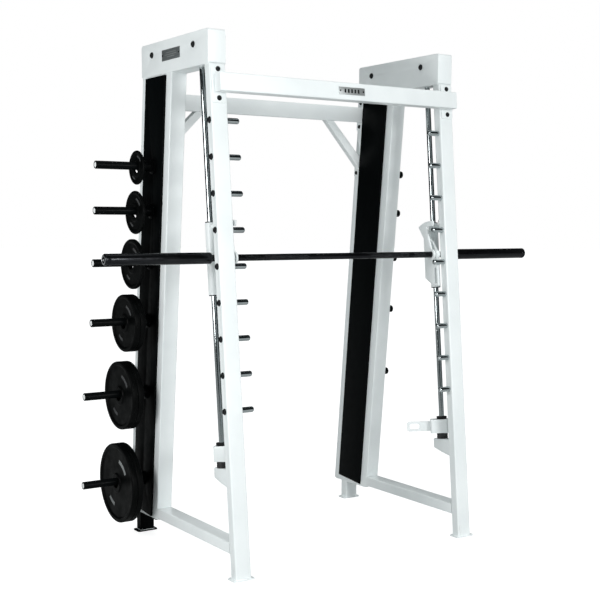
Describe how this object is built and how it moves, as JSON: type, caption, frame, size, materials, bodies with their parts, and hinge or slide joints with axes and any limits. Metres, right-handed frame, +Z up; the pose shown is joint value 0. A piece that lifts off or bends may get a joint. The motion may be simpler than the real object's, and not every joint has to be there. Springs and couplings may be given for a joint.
{
  "type": "smith machine",
  "caption": "Counterbalanced smith machine: leaning side frames, weight bar in carriages on guide rods with catch pegs, cable-hung counterweights, safety stops and plate storage horns.",
  "frame": {"origin": "middle of the machine's footprint, on the floor", "axes": "+Z up, front of the machine faces -Y, +X runs along the weight bar to the side without plates"},
  "size_m": [2.296, 1.0706, 2.3],
  "materials": {
    "white_paint": "gloss powder coat",
    "black_paint": "satin powder coat",
    "black_panel": "satin powder coat",
    "black_steel": "black oxide, polished",
    "black_bolt": "black oxide",
    "chrome": "polished",
    "cable_steel": "wire rope",
    "weight_steel": "bare mill steel, painted",
    "black_plastic": "moulded",
    "rubber": "matt",
    "grey_label": "satin",
    "cast_iron": "black enamel"
  },
  "bodies": {
    "frame": {"left_upright": "white_paint", "right_upright": "white_paint", "left_pegs": "chrome", "right_pegs": "chrome", "peg_bolts": "black_bolt", "left_column": "white_paint", "right_column": "white_paint", "left_inner_cover": "black_panel", "right_inner_cover": "black_panel", "left_outer_cover": "black_panel", "right_outer_cover": "black_panel", "left_header": "white_paint", "right_header": "white_paint", "pulley_axles": "black_bolt", "name_plate": "grey_label", "left_rail": "white_paint", "right_rail": "white_paint", "foot_plates": "white_paint", "left_rear_post": "black_paint", "right_rear_post": "white_paint", "front_crossbar": "white_paint", "crossbar_badge": "grey_label", "rear_crossbar": "white_paint", "corner_braces": "white_paint", "frame_bolts": "black_bolt", "left_guide_rod": "chrome", "right_guide_rod": "chrome", "left_rod_bracket": "white_paint", "right_rod_bracket": "white_paint", "rod_bumpers": "rubber", "left_cable_front": "cable_steel", "right_cable_front": "cable_steel", "left_cable_rear": "cable_steel", "right_cable_rear": "cable_steel", "cable_tops": "cable_steel", "storage_horns": "black_paint", "short_studs": "black_paint"},
    "carriages": {"left_carriage": "white_paint", "right_carriage": "white_paint", "carriage_bushes": "black_plastic"},
    "bar": {"bar_shaft": "black_steel", "left_bar_sleeve": "black_steel", "right_bar_sleeve": "black_steel", "left_hook": "white_paint", "right_hook": "white_paint"},
    "left_counterweight": {"left_counterweight": "weight_steel"},
    "right_counterweight": {"right_counterweight": "weight_steel"},
    "front_pulleys": {"front_pulleys": "black_plastic"},
    "rear_pulleys": {"rear_pulleys": "black_plastic"},
    "left_stop_bush": {"left_stop_bush": "black_paint"},
    "right_stop_bush": {"right_stop_bush": "black_paint"},
    "left_stop_block": {"left_stop_block": "white_paint"},
    "right_stop_block": {"right_stop_block": "white_paint"},
    "plates_1": {"plates_1": "cast_iron"},
    "plates_2": {"plates_2": "cast_iron"},
    "plates_3": {"plates_3": "cast_iron"},
    "plates_4": {"plates_4": "cast_iron"},
    "plates_5": {"plates_5": "cast_iron"},
    "plates_6": {"plates_6": "cast_iron"}
  },
  "joints": [
    {"name": "bar_slide", "type": "slide", "parent": "frame", "child": "carriages", "axis": [0, 0.0958, 0.9954], "range_m": [-0.6096, 0.4572], "deforming": ["left_cable_front", "right_cable_front"]},
    {"name": "bar_turn", "type": "hinge", "parent": "carriages", "child": "bar", "pos_m": [0, -0.32929, 1.3543], "axis": [1, 0, 0], "range_deg": [0, 22]},
    {"name": "left_weight_slide", "type": "slide", "parent": "frame", "child": "left_counterweight", "axis": [0, -0.0958, 0.9954], "range_m": [-0.4573, 0.6097], "deforming": ["left_cable_rear"]},
    {"name": "right_weight_slide", "type": "slide", "parent": "frame", "child": "right_counterweight", "axis": [0, -0.0958, 0.9954], "range_m": [-0.4573, 0.6097], "deforming": ["right_cable_rear"]},
    {"name": "front_pulley_spin", "type": "hinge", "parent": "frame", "child": "front_pulleys", "pos_m": [0, -0.18688, 2.249], "axis": [1, 0, 0], "range_deg": [-656, 875]},
    {"name": "rear_pulley_spin", "type": "hinge", "parent": "frame", "child": "rear_pulleys", "pos_m": [0, 0.204, 2.249], "axis": [1, 0, 0], "range_deg": [-656, 875]},
    {"name": "left_stop_slide", "type": "slide", "parent": "frame", "child": "left_stop_bush", "axis": [0, 0.0958, 0.9954], "range_m": [0, 0.4916]},
    {"name": "left_stop_swing", "type": "hinge", "parent": "left_stop_bush", "child": "left_stop_block", "pos_m": [-0.619, -0.34886, 0.48336], "axis": [0, -0.0958, -0.9954], "range_deg": [0, 93.4]},
    {"name": "right_stop_slide", "type": "slide", "parent": "frame", "child": "right_stop_bush", "axis": [0, 0.0958, 0.9954], "range_m": [0, 0.4916]},
    {"name": "right_stop_swing", "type": "hinge", "parent": "right_stop_bush", "child": "right_stop_block", "pos_m": [0.619, -0.34886, 0.48336], "axis": [0, 0.0958, 0.9954], "range_deg": [0, 93.4]},
    {"name": "plates_1_slide", "type": "slide", "parent": "frame", "child": "plates_1", "axis": [-1, 0, 0], "range_m": [-0.0013, 0.214]},
    {"name": "plates_2_slide", "type": "slide", "parent": "frame", "child": "plates_2", "axis": [-1, 0, 0], "range_m": [-0.0018, 0.213]},
    {"name": "plates_3_slide", "type": "slide", "parent": "frame", "child": "plates_3", "axis": [-1, 0, 0], "range_m": [-0.0043, 0.213]},
    {"name": "plates_4_slide", "type": "slide", "parent": "frame", "child": "plates_4", "axis": [-1, 0, 0], "range_m": [0, 0.22]},
    {"name": "plates_5_slide", "type": "slide", "parent": "frame", "child": "plates_5", "axis": [-1, 0, 0], "range_m": [-0.0111, 0.236]},
    {"name": "plates_6_slide", "type": "slide", "parent": "frame", "child": "plates_6", "axis": [-1, 0, 0], "range_m": [-0.0151, 0.229]}
  ],
  "couplings": [
    {"joint": "left_weight_slide", "follows": "bar_slide", "ratio": -1},
    {"joint": "right_weight_slide", "follows": "bar_slide", "ratio": -1},
    {"joint": "front_pulley_spin", "follows": "bar_slide", "rad_per_m": -25},
    {"joint": "rear_pulley_spin", "follows": "bar_slide", "rad_per_m": -25}
  ]
}
